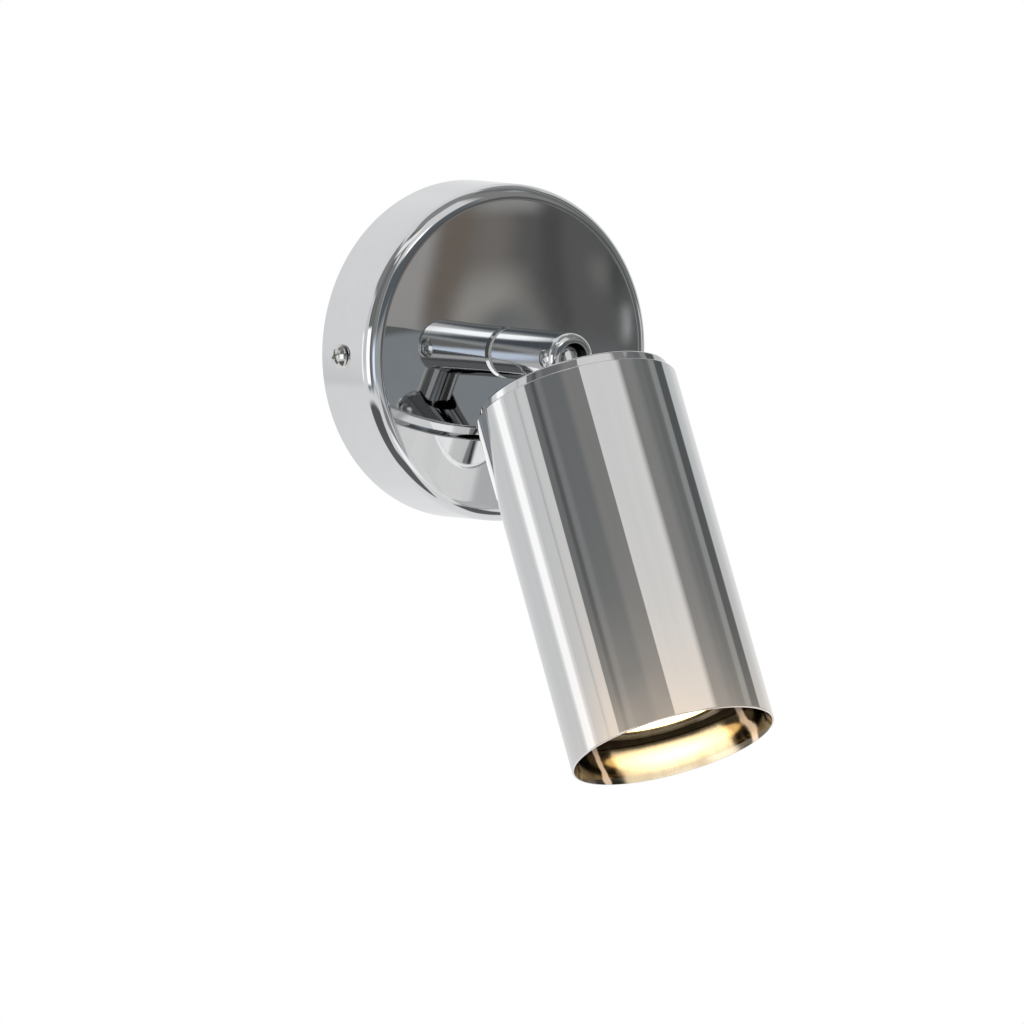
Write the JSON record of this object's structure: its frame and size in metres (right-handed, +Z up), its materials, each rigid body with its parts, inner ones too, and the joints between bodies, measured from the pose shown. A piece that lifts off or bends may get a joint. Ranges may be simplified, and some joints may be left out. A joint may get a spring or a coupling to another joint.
{
  "type": "wall spotlight",
  "caption": "Chrome wall spotlight: round dished canopy, short arm with a side-pinned tilt joint, and a capped tubular head that holds a twist-lock lamp.",
  "frame": {"origin": "middle of the two wall slots, on the back of the bracket, where the lamp meets the wall", "axes": "+Z up, +Y into the wall, so the arm stands out along -Y; +X to the right of someone who faces the wall"},
  "size_m": [0.1042, 0.1344, 0.1721],
  "materials": {
    "chrome": "polished chrome plate",
    "zinc_steel": "zinc plated",
    "spring_steel": "spring steel",
    "brass": "plain brass",
    "block_plastic": "natural plastic",
    "washer_nylon": "black nylon",
    "ceramic": "unglazed steatite",
    "lead_brown": "heat-resistant insulation",
    "lead_blue": "heat-resistant insulation",
    "lead_green_yellow": "heat-resistant insulation",
    "glass_fibre": "braided sleeve",
    "lamp_body": "white moulding",
    "lamp_board": "white-coated board",
    "lamp_lens": "frosted front"
  },
  "bodies": {
    "base": {"canopy": "chrome", "wall_bracket": "zinc_steel", "side_screws": "chrome", "terminal_block": "block_plastic", "terminal_tubes": "brass", "terminal_screws": "brass", "block_screw": "zinc_steel", "earth_screw": "brass", "earth_tag": "zinc_steel", "live_lead": "lead_brown", "neutral_lead": "lead_blue", "earth_lead": "lead_green_yellow", "stop_stud": "zinc_steel"},
    "arm": {"arm": "chrome", "arm_nipple": "zinc_steel", "front_washer": "washer_nylon", "friction_washer": "washer_nylon", "stop_washer": "zinc_steel", "spring_washer": "spring_steel", "arm_nut": "zinc_steel", "arm_sleeve": "glass_fibre", "arm_live_lead": "lead_brown", "arm_neutral_lead": "lead_blue", "arm_earth_lead": "lead_green_yellow", "pivot_screws": "chrome", "pivot_washers": "washer_nylon"},
    "head": {"neck": "chrome", "cap": "chrome", "tube": "chrome", "holder_frame": "zinc_steel", "lock_washer": "zinc_steel", "neck_nut": "brass", "lampholder": "ceramic", "holder_contacts": "brass", "holder_screws": "zinc_steel", "head_live_lead": "lead_brown", "head_neutral_lead": "lead_blue", "head_earth_lead": "lead_green_yellow", "head_earth_tag": "zinc_steel", "head_earth_screw": "brass", "lamp_shell": "lamp_body", "lamp_board": "lamp_board", "lamp_lens": "lamp_lens", "lamp_pins": "brass"}
  },
  "joints": [
    {"name": "arm_turn", "type": "hinge", "parent": "base", "child": "arm", "pos_m": [0, -0.0238, 0], "axis": [0, -1, 0], "range_deg": [-160, 160]},
    {"name": "head_tilt", "type": "hinge", "parent": "arm", "child": "head", "pos_m": [0, -0.0525, 0], "axis": [-1, 0, 0], "range_deg": [-17, 63]}
  ]
}
